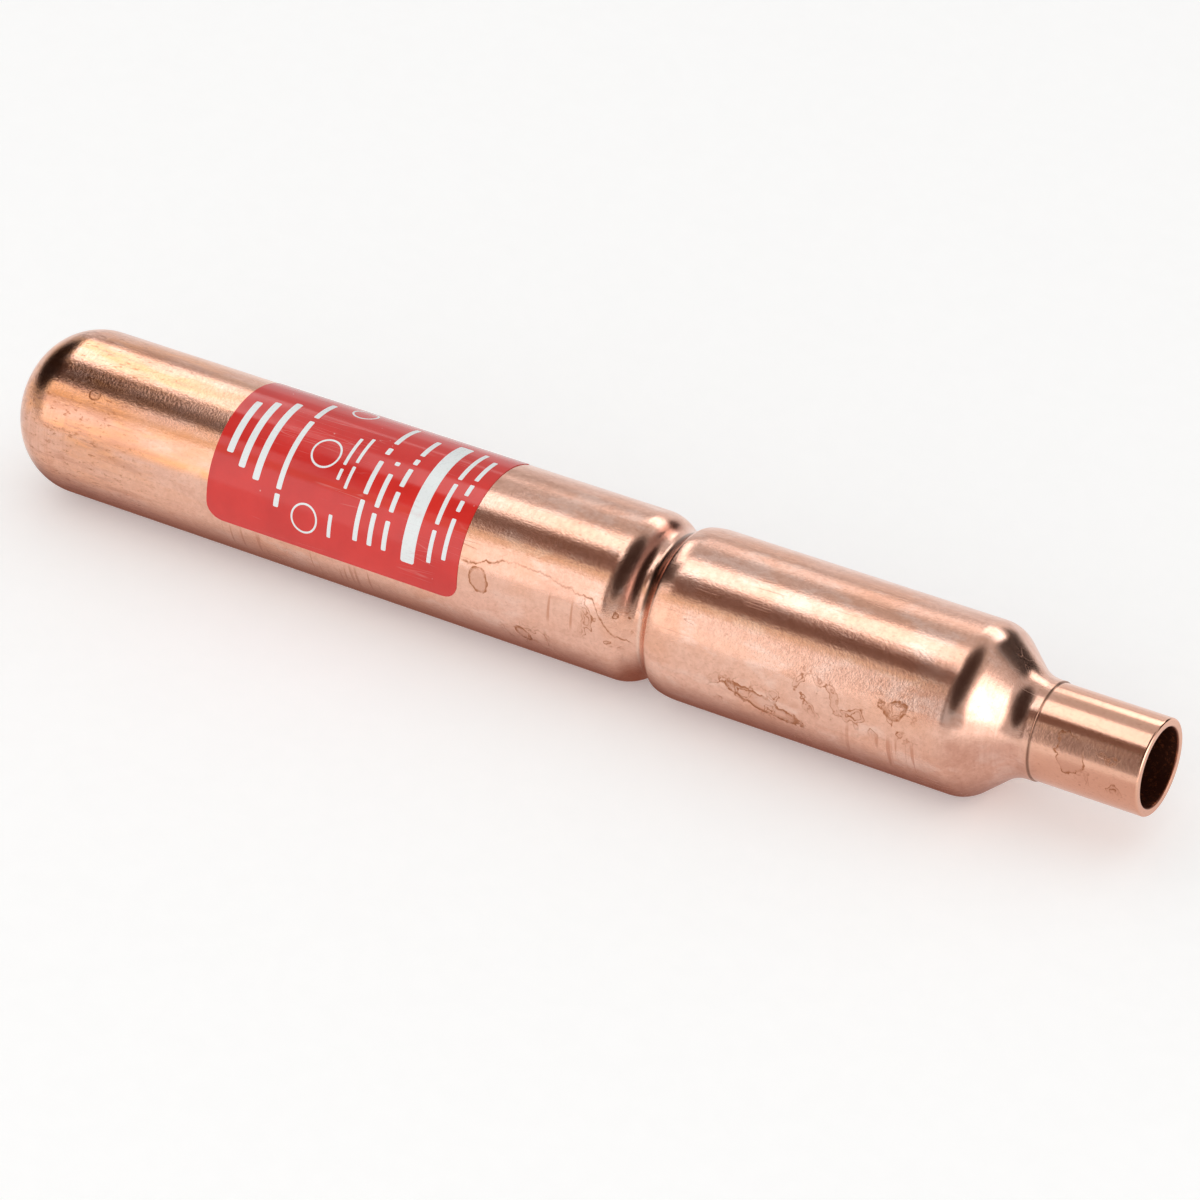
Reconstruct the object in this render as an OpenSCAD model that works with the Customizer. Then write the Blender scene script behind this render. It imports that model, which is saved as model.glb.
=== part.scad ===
// Water hammer arrestor: a closed copper tube with a sealed piston between the water and an air charge.
// The axis lies along X. The origin is the centre of the stub's mouth, and +X points out of the mouth.

/* [Tube] */
// outside diameter of the drawn tube
tube_od = 28.575; // [27.5:0.005:30]
// wall of the tube, kept through the groove and the dome
tube_wall = 1.27; // [1:0.01:1.4]
// length from the mouth of the stub to the crown of the dome
overall_length = 213; // [190:0.5:260]

/* [Stub] */
// outside diameter of the stub, which goes into a solder cup
stub_od = 15.875; // [15:0.005:17]
// bore of the stub
stub_bore = 13; // [12:0.01:13.2]
// length from the mouth to the sizing line
stub_length = 18.6; // [14:0.1:24]
// height of the step at the sizing line
sizing_step = 0.2; // [0.1:0.05:0.4]
// straight length between the sizing line and the neck
sizing_land = 1.1; // [0.6:0.1:2]
// rounding of the rim's two edges
rim_radius = 0.4; // [0.2:0.05:0.55]

/* [Neck] */
// angle between the neck's cone and the axis
neck_angle = 41; // [36:0.5:46]
// radius of the hollow curve from the stub into the cone
neck_fillet = 6; // [4:0.1:6.5]
// radius of the rounded shoulder from the cone into the tube
neck_knuckle = 5.9; // [4:0.1:6.5]

/* [Stop groove] */
// distance from the mouth to the bottom of the rolled groove
groove_position = 86.5; // [70:0.1:95]
// depth of the groove
groove_depth = 2; // [1.5:0.05:2.5]
// radius of the groove's bottom
groove_root = 3.1; // [2:0.05:4]
// radius of the rolled shoulder towards the stub
inlet_shoulder = 12.5; // [8:0.1:14]
// radius of the lip between that shoulder and the groove's bottom
groove_lip = 1.6; // [1.5:0.05:2.5]
// angle between the shoulder and the axis where the lip starts
lip_angle = 14; // [8:0.5:20]
// radius of the rolled shoulder towards the dome
dome_shoulder = 6; // [4:0.1:9]

/* [Dome] */
// radius of the dome's crown
dome_crown = 20; // [18:0.1:24]
// radius of the dome's rounded edge
dome_knuckle = 11.4; // [9:0.1:12]

/* [Piston] */
// length of the piston
piston_length = 26; // [22:0.5:32]
// radial play between the piston's lands and the tube
piston_play = 0.1; // [0.05:0.01:0.1]
// gap left between the piston at rest and the groove's inner bead
stop_gap = 0.3; // [0.2:0.05:0.6]
// chamfer on both ends of the piston
piston_chamfer = 1.5; // [1:0.1:2]
// thickness of the closed end, on the water side
piston_web = 4; // [3:0.1:6]
// diameter of the hollow, open to the air side
hollow_d = 16.4; // [12:0.1:17.4]
// rounding at the bottom of the hollow
hollow_round = 2; // [1:0.1:3]
// chamfer at the mouth of the hollow
hollow_chamfer = 0.8; // [0.4:0.1:1.2]
// depth of the grease groove between the seals
relief_depth = 0.7; // [0.4:0.05:1]
// width of the grease groove between the seals
relief_width = 5; // [3:0.1:7]

/* [Seals] */
// radial height of a seal in its groove
seal_height = 2.3; // [2:0.01:2.5]
// width of a seal along the axis
seal_width = 2.84; // [2.7:0.01:3]
// play between a seal and the tube
seal_play = 0.05; // [0.02:0.01:0.08]
// width of a seal groove
seal_groove_width = 3.5; // [3.2:0.05:4]
// distance from an end of the piston to the middle of its seal groove
seal_inset = 5.5; // [5:0.1:6.5]

/* [Label] */
// distance from the mouth to the near edge of the label
label_start = 118.6; // [105:0.1:130]
// length of the label along the tube
label_length = 49.4; // [30:0.1:55]
// angle that the label wraps round the tube
label_wrap = 141; // [90:1:180]
// angle of the label's middle from the top, towards the front
label_turn = 29; // [0:1:90]
// thickness of the label
label_thickness = 0.1; // [0.08:0.01:0.2]
// radius of the label's corners
label_corner = 3; // [1:0.1:6]

/* [Hidden] */
$fn = 160;
copper = [0.80, 0.50, 0.38];
plastic = [0.86, 0.86, 0.83];
rubber = [0.08, 0.08, 0.09];
red = [0.72, 0.12, 0.13];

tube_r = tube_od / 2;
bore_r = tube_r - tube_wall;
stub_r = stub_od / 2;
neck_r = stub_r + sizing_step;

// along the axis, where the neck ends and the straight tube starts
neck_start = stub_length + sizing_land;
tube_start = neck_start + neck_run(tube_r, neck_r);

// along the axis, from the end of the tube to the centre of the crown's curve
knuckle_offset = tube_r - dome_knuckle;
crown_drop = sqrt(pow(dome_crown - dome_knuckle, 2) - pow(knuckle_offset, 2));
tube_end = overall_length - dome_crown + crown_drop;

// steepest angle of the groove's wall under the lip
lip_fall = inlet_shoulder * (1 - cos(lip_angle)) + groove_lip * cos(lip_angle);
wall_angle = acos((lip_fall + groove_root - groove_depth) / (groove_lip + groove_root));

// along the axis, from the groove's bottom to the ends of its two shoulders
inlet_run = (inlet_shoulder - groove_lip) * sin(lip_angle) + (groove_lip + groove_root) * sin(wall_angle);
dome_bends = dome_shoulder + groove_root;
dome_run = sqrt(pow(dome_bends, 2) - pow(dome_bends - groove_depth, 2));

// piston and seals
piston_r = bore_r - piston_play;
stop_curve = dome_shoulder - tube_wall;
stop_edge = sqrt(pow(stop_curve, 2) - pow(piston_r - (tube_r - dome_shoulder), 2));
piston_start = groove_position + dome_run - stop_edge - piston_chamfer + stop_gap;
piston_end = piston_start + piston_length;
hollow_r = hollow_d / 2;
hollow_start = piston_start + piston_web;
seal_outer = bore_r - seal_play;
seal_inner = seal_outer - seal_height;
water_seal = piston_start + seal_inset;
air_seal = piston_end - seal_inset;

// room past an edge, so that a cut passes right through it
past = 1;
// how far an arc stands over the faces it joins, so that no thread of a face is left between them
lap = 0.0002;
// the same for the label's corners
corner_lap = 0.003;

// length of the neck from a small radius to a large one
function neck_run(large, small) =
  let(bends = neck_fillet + neck_knuckle)
  bends * sin(neck_angle) + (large - small - bends * (1 - cos(neck_angle))) / tan(neck_angle);

// turn a shape drawn along Z so that Z runs from the mouth to the dome
module along_tube() {
  rotate([0, -90, 0])
    children();
}

// the piece of a disc round the stretch of its edge between two points, a hair proud of what it meets,
// with room past both points, and past the one nearer the dome as much as is given
module arc_piece(centre, radius, a, b, room = past) {
  intersection() {
    translate(centre)
      circle(r = radius + lap);
    translate([min(a[0], b[0]) - past, min(a[1], b[1]) - past])
      square([abs(a[0] - b[0]) + 2 * past, abs(a[1] - b[1]) + past + room]);
  }
}

// section of the rolled groove, cut into a face that lies inset from the outside of the tube,
// drawn from the point of that outside over the groove's bottom
module groove_section(inset) {
  root = groove_root + inset;
  lip = groove_lip - inset;
  lip_start = [cos(lip_angle), sin(lip_angle)];
  lip_end = [cos(wall_angle), sin(wall_angle)];
  root_centre = [groove_root - groove_depth, 0];
  lip_centre = root_centre - (groove_lip + groove_root) * lip_end;
  inlet_centre = [-inlet_shoulder, -inlet_run];
  dome_centre = [-dome_shoulder, dome_run];
  inlet_top = [-inset, -inlet_run];
  dome_top = [-inset, dome_run];
  lip_top = lip_centre + lip * lip_start;
  lip_foot = lip_centre + lip * lip_end;
  dome_touch = root_centre + root * (dome_centre - root_centre) / dome_bends;
  difference() {
    union() {
      polygon([
        inlet_top + [past, 0],
        inlet_top,
        lip_top,
        lip_foot,
        dome_touch,
        dome_top,
        dome_top + [past, 0],
      ]);
      translate(root_centre)
        circle(r = root + lap);
    }
    arc_piece(inlet_centre, inlet_shoulder - inset, inlet_top, lip_top, 0);
    arc_piece(lip_centre, lip + lap, lip_top, lip_foot);
    arc_piece(dome_centre, dome_shoulder - inset, dome_touch, dome_top);
  }
}

// half section of the dome, drawn from the middle of the tube's end
module dome_section(inset) {
  crown = dome_crown - inset;
  crown_centre = [0, -crown_drop];
  cap_centre = [knuckle_offset, 0];
  cap_end = crown_centre + crown * (cap_centre - crown_centre) / (dome_crown - dome_knuckle);
  intersection() {
    translate(crown_centre)
      circle(r = crown);
    square([cap_end[0], crown]);
  }
  arc_piece(cap_centre, dome_knuckle - inset, [tube_r - inset, 0], cap_end);
}

// half section of all that lies within a face of the wall, from the mouth to the crown
module wall_section(inset, small) {
  face_r = tube_r - inset;
  fillet = neck_fillet + inset;
  knuckle = neck_knuckle - inset;
  bend = [1 - cos(neck_angle), sin(neck_angle)];
  fillet_foot = [small, tube_start - neck_run(face_r, small)];
  fillet_end = fillet_foot + fillet * bend;
  knuckle_end = [face_r, tube_start];
  knuckle_foot = knuckle_end - knuckle * bend;
  difference() {
    union() {
      polygon([
        [0, 0],
        [small, 0],
        fillet_foot,
        fillet_end,
        knuckle_foot,
        knuckle_end,
        [face_r, tube_end],
        [0, tube_end],
      ]);
      arc_piece([face_r - knuckle, tube_start], knuckle, knuckle_foot, knuckle_end);
      translate([0, tube_end])
        dome_section(inset);
    }
    arc_piece([small + fillet, fillet_foot[1]], fillet, fillet_foot, fillet_end);
    translate([tube_r, groove_position])
      groove_section(inset);
  }
}

// corner between a rim's face and a round edge of that radius, to be cut away
module rim_corner() {
  difference() {
    translate([-past, -past])
      square(rim_radius + past);
    translate([rim_radius, rim_radius])
      circle(r = rim_radius);
  }
}

// one piece of copper: sized stub, spun neck, rolled groove and spun dome
module barrel() {
  color(copper)
    along_tube()
      rotate_extrude()
        difference() {
          wall_section(0, neck_r);
          translate([stub_r, -past])
            square([sizing_step + past, stub_length + past]);
          translate([stub_r, 0])
            mirror([1, 0])
              rim_corner();
          wall_section(tube_wall, stub_bore / 2);
          translate([0, -past])
            square([stub_bore / 2, 2 * past]);
          translate([stub_bore / 2, 0])
            rim_corner();
        }
}

// moulded piston: two lands and two seal grooves round a cup that opens to the air side
module piston() {
  waist = (piston_start + piston_end) / 2;
  color(plastic)
    along_tube()
      rotate_extrude()
        difference() {
          polygon([
            [0, piston_start],
            [piston_r - piston_chamfer, piston_start],
            [piston_r, piston_start + piston_chamfer],
            [piston_r, piston_end - piston_chamfer],
            [piston_r - piston_chamfer, piston_end],
            [0, piston_end],
          ]);
          for (seal = [water_seal, air_seal])
            translate([seal_inner, seal - seal_groove_width / 2])
              square([bore_r, seal_groove_width]);
          translate([piston_r - relief_depth, waist - relief_width / 2])
            square([bore_r, relief_width]);
          hollow_section();
        }
}

// half section of the piston's hollow
module hollow_section() {
  translate([0, hollow_start])
    square([hollow_r - hollow_round, piston_length]);
  translate([0, hollow_start + hollow_round])
    square([hollow_r, piston_length]);
  translate([hollow_r - hollow_round, hollow_start + hollow_round])
    circle(r = hollow_round);
  polygon([
    [0, piston_end - hollow_chamfer],
    [hollow_r, piston_end - hollow_chamfer],
    [hollow_r + hollow_chamfer, piston_end],
    [0, piston_end],
  ]);
}

// a round seal ring, squeezed a little wider than it is high
module seal_ring(position) {
  spread = (seal_width - seal_height) / 2;
  color(rubber)
    along_tube()
      rotate_extrude()
        translate([seal_inner + seal_height / 2, position]) {
          square([seal_height, 2 * spread], center = true);
          for (end = [-spread, spread])
            translate([0, end])
              circle(r = seal_height / 2);
        }
}

// seal towards the air charge
module air_side_o_ring() {
  seal_ring(air_seal);
}

// seal towards the water
module water_side_o_ring() {
  seal_ring(water_seal);
}

// what is cut from the four corners of the label to round them
module label_corners() {
  reach = label_corner + past;
  corner_turn = asin(label_corner / (tube_r + label_thickness));
  for (side = [-1, 1], end = [-1, 1])
    rotate([0, 0, side * (label_wrap / 2 - corner_turn)])
      translate([tube_r, 0, label_start + label_length / 2 + end * (label_length / 2 - label_corner)])
        difference() {
          translate([0, side * reach / 2, end * reach / 2])
            cube([2 * reach, reach, reach], center = true);
          rotate([0, 90, 0])
            cylinder(r = label_corner + corner_lap, h = 3 * reach, center = true);
        }
}

// bare printed label, stuck round the tube
module label() {
  color(red)
    along_tube()
      rotate([0, 0, -label_turn])
        difference() {
          rotate([0, 0, -label_wrap / 2])
            rotate_extrude(angle = label_wrap)
              translate([tube_r, label_start])
                square([label_thickness, label_length]);
          label_corners();
        }
}

barrel();
piston();
air_side_o_ring();
water_side_o_ring();
label();
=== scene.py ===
import math
import bpy
import bmesh
from mathutils import Matrix, Vector


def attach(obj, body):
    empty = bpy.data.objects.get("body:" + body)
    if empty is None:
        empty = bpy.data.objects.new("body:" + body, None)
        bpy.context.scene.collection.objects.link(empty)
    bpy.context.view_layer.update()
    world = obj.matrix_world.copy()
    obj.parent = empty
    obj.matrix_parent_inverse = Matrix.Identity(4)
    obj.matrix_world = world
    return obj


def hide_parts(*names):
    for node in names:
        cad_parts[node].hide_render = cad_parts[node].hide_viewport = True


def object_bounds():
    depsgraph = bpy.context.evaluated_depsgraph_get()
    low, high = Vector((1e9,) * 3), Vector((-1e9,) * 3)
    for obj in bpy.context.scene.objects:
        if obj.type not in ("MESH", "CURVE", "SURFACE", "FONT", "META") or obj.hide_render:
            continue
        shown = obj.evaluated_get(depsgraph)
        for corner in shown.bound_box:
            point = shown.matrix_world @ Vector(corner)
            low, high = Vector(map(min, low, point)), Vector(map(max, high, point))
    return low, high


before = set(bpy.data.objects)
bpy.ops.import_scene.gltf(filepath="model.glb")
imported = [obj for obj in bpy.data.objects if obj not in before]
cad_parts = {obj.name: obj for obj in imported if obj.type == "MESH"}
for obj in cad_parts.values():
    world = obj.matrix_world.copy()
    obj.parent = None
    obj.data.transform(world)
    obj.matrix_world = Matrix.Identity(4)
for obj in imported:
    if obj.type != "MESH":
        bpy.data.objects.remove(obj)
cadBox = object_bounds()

mm = 0.001  # pieces are drawn in mm and finished in m
scene = bpy.context.scene
scene.view_settings.view_transform = "Standard"
print("frame loaded:", ", ".join(sorted(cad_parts)))


# helpers for nodes and pieces

def addNode(tree, kind, values=None, **settings):
    made = tree.nodes.new(kind)
    for key, value in settings.items():
        setattr(made, key, value)
    for key, value in (values or {}).items():
        if isinstance(value, bpy.types.NodeSocket):
            tree.links.new(value, made.inputs[key])
        else:
            made.inputs[key].default_value = value
    return made


def maths(tree, operation, *values):
    return addNode(tree, "ShaderNodeMath", dict(enumerate(values)), operation=operation).outputs[0]


def chain(tree, operation, masks):
    total = masks[0]
    for mask in masks[1:]:
        total = maths(tree, operation, total, mask)
    return total


def product(tree, *masks):
    return chain(tree, "MULTIPLY", masks)


def most(tree, *masks):
    return chain(tree, "MAXIMUM", masks)


def offFrom(tree, value, middle):  # how far a value is from a middle one
    return maths(tree, "ABSOLUTE", maths(tree, "SUBTRACT", value, middle))


def remap(tree, value, low, high, toLow=0.0, toHigh=1.0):  # smooth, clamped
    values = {0: value, 1: low, 2: high, 3: toLow, 4: toHigh}
    return addNode(tree, "ShaderNodeMapRange", values, interpolation_type="SMOOTHSTEP").outputs[0]


def within(tree, value, first, last, soft):  # one between first and last, with soft ends
    rise = remap(tree, value, first - soft, first + soft)
    fall = remap(tree, value, last - soft, last + soft, 1.0, 0.0)
    return maths(tree, "MULTIPLY", rise, fall)


def noise(tree, vector, scale, detail=2.0, rough=0.5):
    values = {"Vector": vector, "Scale": scale, "Detail": detail, "Roughness": rough}
    return addNode(tree, "ShaderNodeTexNoise", values).outputs["Fac"]


def mixColour(tree, factor, first, second):
    return addNode(tree, "ShaderNodeMix", {0: factor, 6: first, 7: second}, data_type="RGBA").outputs[2]


def bump(tree, height, distance, strength=1.0, under=None):
    values = {"Height": height, "Distance": distance, "Strength": strength}
    if under is not None:
        values["Normal"] = under
    return addNode(tree, "ShaderNodeBump", values).outputs[0]


def newMaterial(name):
    made = bpy.data.materials.new(name)
    made.use_nodes = True
    tree = made.node_tree
    return made, tree, tree.nodes["Principled BSDF"]


def objectCoords(tree):
    return addNode(tree, "ShaderNodeTexCoord").outputs["Object"]


def newGroup(name, inputs, outputs):  # an input with no number is a vector
    group = bpy.data.node_groups.new(name, "ShaderNodeTree")
    for label, value in inputs.items():
        kind = "NodeSocketVector" if value is None else "NodeSocketFloat"
        socket = group.interface.new_socket(name=label, in_out="INPUT", socket_type=kind)
        if value is not None:
            socket.default_value = value
    for label in outputs:
        group.interface.new_socket(name=label, in_out="OUTPUT", socket_type="NodeSocketFloat")
    given = addNode(group, "NodeGroupInput").outputs
    return group, given, addNode(group, "NodeGroupOutput").inputs


def useGroup(tree, group, values):
    return addNode(tree, "ShaderNodeGroup", values, node_tree=group).outputs


def linkObject(name, bm):
    mesh = bpy.data.meshes.new(name)
    bm.to_mesh(mesh)
    bm.free()
    made = bpy.data.objects.new(name, mesh)
    scene.collection.objects.link(made)
    return made


def finishPiece(name, bm, material, body, sharpAngle, nodes=()):
    bmesh.ops.scale(bm, vec=(mm, mm, mm), verts=bm.verts)
    piece = linkObject(name, bm)
    mesh = piece.data
    mesh.shade_smooth()
    mesh.set_sharp_from_angle(angle=math.radians(sharpAngle))
    mesh.materials.append(material)
    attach(piece, body)
    if nodes:
        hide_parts(*nodes)
    mesh.calc_loop_triangles()
    print(name, "made,", len(mesh.loop_triangles), "triangles")


# effects that several finishes share

marksStyle = {
    "leans": ((0.3, 0.2, 0.5), (-0.4, 0.5, -0.2)),  # two sets of hairlines that lean different ways
    "hairStretch": (0.12, 2.2, 2.2),
    "hairLine": 0.006,
    "hairPatches": 110.0,
    "hairShare": (0.52, 0.66),
    "speckScale": 2.6,  # times the scale of the hairlines
    "speckSize": (0.05, 0.1),
    "speckPatches": 420.0,
    "speckShare": (0.6, 0.66),
}


def buildGrain():
    inputs = {"Vector": None, "Scale": 2000.0, "Mottle": 60.0}
    group, given, result = newGroup("surfaceGrain", inputs, ["Grain", "Mottle"])
    group.links.new(noise(group, given["Vector"], given["Scale"], 3.0, 0.65), result["Grain"])
    group.links.new(noise(group, given["Vector"], given["Mottle"], 5.0, 0.6), result["Mottle"])
    return group


def buildMarks(style):
    inputs = {"Vector": None, "Scale": 160.0}
    group, given, result = newGroup("handlingMarks", inputs, ["Scratches", "Specks"])
    vector = given["Vector"]
    lines = []
    for lean in style["leans"]:
        leaning = {"Vector": vector, "Rotation": lean, "Scale": style["hairStretch"]}
        turned = addNode(group, "ShaderNodeMapping", leaning).outputs[0]
        streak = noise(group, turned, given["Scale"], 1.0, 0.4)
        lines.append(remap(group, offFrom(group, streak, 0.5), 0.0, style["hairLine"], 1.0, 0.0))
    patches = remap(group, noise(group, vector, style["hairPatches"]), *style["hairShare"])
    group.links.new(product(group, most(group, *lines), patches), result["Scratches"])
    speckScale = maths(group, "MULTIPLY", given["Scale"], style["speckScale"])
    cells = addNode(group, "ShaderNodeTexVoronoi", {"Vector": vector, "Scale": speckScale})
    dots = remap(group, cells.outputs["Distance"], *style["speckSize"], 1.0, 0.0)
    few = remap(group, noise(group, vector, style["speckPatches"], 1.0), *style["speckShare"])
    group.links.new(product(group, dots, few), result["Specks"])
    return group


def buildWaterRing():
    inputs = {
        "Along": 0.0,
        "Round": 0.0,
        "Wander": 0.5,
        "Middle Along": 0.0,
        "Middle Round": 0.0,
        "Half Length": 1.0,
        "Half Width": 1.0,
        "Slant": 0.0,
        "Wobble": 0.6,
        "Line": 0.2,
    }
    group, given, result = newGroup("waterRing", inputs, ["Outline", "Inside"])
    along = maths(group, "SUBTRACT", given["Along"], given["Middle Along"])
    across = maths(group, "SUBTRACT", given["Round"], given["Middle Round"])
    across = maths(group, "MULTIPLY_ADD", along, given["Slant"], across)
    far = maths(group, "POWER", maths(group, "DIVIDE", along, given["Half Length"]), 2.0)
    wide = maths(group, "POWER", maths(group, "DIVIDE", across, given["Half Width"]), 2.0)
    reach = maths(group, "SQRT", maths(group, "ADD", far, wide))
    wander = maths(group, "SUBTRACT", given["Wander"], 0.5)
    reach = maths(group, "MULTIPLY_ADD", wander, given["Wobble"], reach)
    edge = maths(group, "MULTIPLY", maths(group, "SUBTRACT", reach, 1.0), given["Half Width"])
    edge = maths(group, "DIVIDE", edge, given["Line"])  # in line widths, from the rim outwards
    innerSide = remap(group, edge, -2.4, -0.2)
    outerSide = remap(group, edge, 0.0, 0.7, 1.0, 0.0)  # a drop dries sharper outside
    group.links.new(product(group, innerSide, outerSide), result["Outline"])
    group.links.new(remap(group, edge, -1.5, 0.5, 1.0, 0.0), result["Inside"])
    return group


grainGroup = buildGrain()
marksGroup = buildMarks(marksStyle)
ringGroup = buildWaterRing()
print("shared effects built")


# one length of drawn tube, domed at one end, rolled in at the groove and spun down to the stub

barrelShape = {  # mm, mouth of the stub at zero, dome towards -X
    "length": 213.0,
    "tubeRadius": 14.2875,
    "wall": 1.27,
    "domeKnuckle": 11.4,
    "domeCrown": 20.0,
    "grooveAt": 86.5,
    "grooveDepth": 2.0,
    "grooveRoot": 3.1,
    "grooveDomeShoulder": 6.0,
    "grooveLip": 1.6,
    "grooveLipLean": 14.0,
    "grooveInletShoulder": 12.5,
    "neckAngle": 41.0,
    "neckKnuckle": 5.9,
    "neckFillet": 6.0,
    "neckFoot": 19.7,
    "stubRadius": 7.9375,
    "stubBore": 6.5,
    "stubLength": 18.6,
    "sizingStep": 0.2,
    "sizingEdge": 0.08,
    "rim": 0.4,
    "bendStep": 2.4,  # degrees of bend to each facet
    "fewestSteps": 4,
    "holdLoop": 0.12,  # distance of the loops that hold a straight wall straight
    "roundFacets": 200,
    "weld": 1e-4,
    "sharpAngle": 50.0,
}


def runOn(bm, pen, length, hold):  # a straight wall
    ahead = Vector((math.cos(pen["heading"]), 0.0, math.sin(pen["heading"])))
    steps = (hold, length - 2 * hold, hold) if length > 4 * hold else (length,)
    for step in steps:
        pen["tip"] = bmesh.ops.extrude_vert_indiv(bm, verts=[pen["tip"]])["verts"][0]
        bmesh.ops.translate(bm, verts=[pen["tip"]], vec=ahead * step)


def bendOn(bm, pen, radius, degrees, steps):  # a bent wall, left turns positive
    side = 1.0 if degrees > 0 else -1.0
    left = Vector((-math.sin(pen["heading"]), 0.0, math.cos(pen["heading"])))
    bent = bmesh.ops.spin(
        bm,
        geom=[pen["tip"]],
        cent=pen["tip"].co + left * radius * side,
        axis=(0.0, -1.0, 0.0),
        angle=math.radians(degrees),
        steps=steps,
    )
    pen["tip"] = [item for item in bent["geom_last"] if isinstance(item, bmesh.types.BMVert)][0]
    pen["heading"] += math.radians(degrees)


def makeBarrel(shape):
    bm = bmesh.new()
    pen = {"tip": bm.verts.new((-shape["length"], 0.0, 0.0)), "heading": math.radians(90.0)}
    radius, wall, rim = shape["tubeRadius"], shape["wall"], shape["rim"]

    def run(length):
        runOn(bm, pen, length, shape["holdLoop"])

    def bend(size, degrees):
        steps = math.ceil(abs(degrees) / shape["bendStep"])
        bendOn(bm, pen, size, degrees, max(shape["fewestSteps"], steps))

    crown, knuckle = shape["domeCrown"], shape["domeKnuckle"]
    crownTurn = math.degrees(math.asin((radius - knuckle) / (crown - knuckle)))

    # the groove: a shoulder towards the dome, a lip and a long shoulder towards the stub
    root, depth, dome = shape["grooveRoot"], shape["grooveDepth"], shape["grooveDomeShoulder"]
    lip, inlet = shape["grooveLip"], shape["grooveInletShoulder"]
    lipTurn = shape["grooveLipLean"]
    lipLean = math.radians(lipTurn)
    lipRise = inlet * (1.0 - math.cos(lipLean)) + lip * math.cos(lipLean)
    domeWall = math.acos(1.0 - depth / (dome + root))
    inletWall = math.acos((lipRise + root - depth) / (lip + root))
    domeSide = (dome + root) * math.sin(domeWall)
    inletSide = (inlet - lip) * math.sin(lipLean) + (lip + root) * math.sin(inletWall)
    domeTurn, inletTurn = math.degrees(domeWall), math.degrees(inletWall)

    # the neck: a cone between two opposed bends
    lean = shape["neckAngle"]
    sine, cosine = math.sin(math.radians(lean)), math.cos(math.radians(lean))
    bends = shape["neckKnuckle"] + shape["neckFillet"]

    def coneLength(large, small):
        return (large - small - bends * (1.0 - cosine)) / sine

    def neckLength(large, small):
        return bends * sine + coneLength(large, small) * cosine

    neckRadius = shape["stubRadius"] + shape["sizingStep"]
    neckTop = shape["neckFoot"] + neckLength(radius, neckRadius)
    boreFoot = neckTop - neckLength(radius - wall, shape["stubBore"])

    # outside, from the dome's pole to the mouth
    bend(crown, -crownTurn)
    bend(knuckle, crownTurn - 90.0)
    domeFoot = -pen["tip"].co.x
    run(domeFoot - shape["grooveAt"] - domeSide)
    bend(dome, -domeTurn)
    bend(root, domeTurn + inletTurn)
    bend(lip, lipTurn - inletTurn)
    bend(inlet, -lipTurn)
    run(shape["grooveAt"] - inletSide - neckTop)
    bend(shape["neckKnuckle"], -lean)
    run(coneLength(radius, neckRadius))
    bend(shape["neckFillet"], lean)
    run(shape["neckFoot"] - shape["stubLength"] - shape["sizingEdge"])
    bend(shape["sizingEdge"], -90.0)
    run(shape["sizingStep"] - 2 * shape["sizingEdge"])
    bend(shape["sizingEdge"], 90.0)
    run(shape["stubLength"] - shape["sizingEdge"] - rim)
    bend(rim, -90.0)
    run(shape["stubRadius"] - shape["stubBore"] - 2 * rim)
    bend(rim, -90.0)

    # inside, back to the pole
    run(boreFoot - rim)
    bend(shape["neckFillet"] + wall, -lean)
    run(coneLength(radius - wall, shape["stubBore"]))
    bend(shape["neckKnuckle"] - wall, lean)
    run(shape["grooveAt"] - inletSide - neckTop)
    bend(inlet - wall, lipTurn)
    bend(lip - wall, inletTurn - lipTurn)
    bend(root + wall, -inletTurn - domeTurn)
    bend(dome - wall, domeTurn)
    run(domeFoot - shape["grooveAt"] - domeSide)
    bend(knuckle - wall, 90.0 - crownTurn)
    bend(crown - wall, crownTurn)
    pen["tip"].co.z = 0.0

    bmesh.ops.spin(
        bm,
        geom=bm.verts[:] + bm.edges[:],
        cent=(0.0, 0.0, 0.0),
        axis=(1.0, 0.0, 0.0),
        angle=math.radians(360.0),
        steps=shape["roundFacets"],
        use_merge=True,
    )
    bmesh.ops.remove_doubles(bm, verts=bm.verts, dist=shape["weld"])
    bmesh.ops.recalc_face_normals(bm, faces=bm.faces)
    return bm


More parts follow.
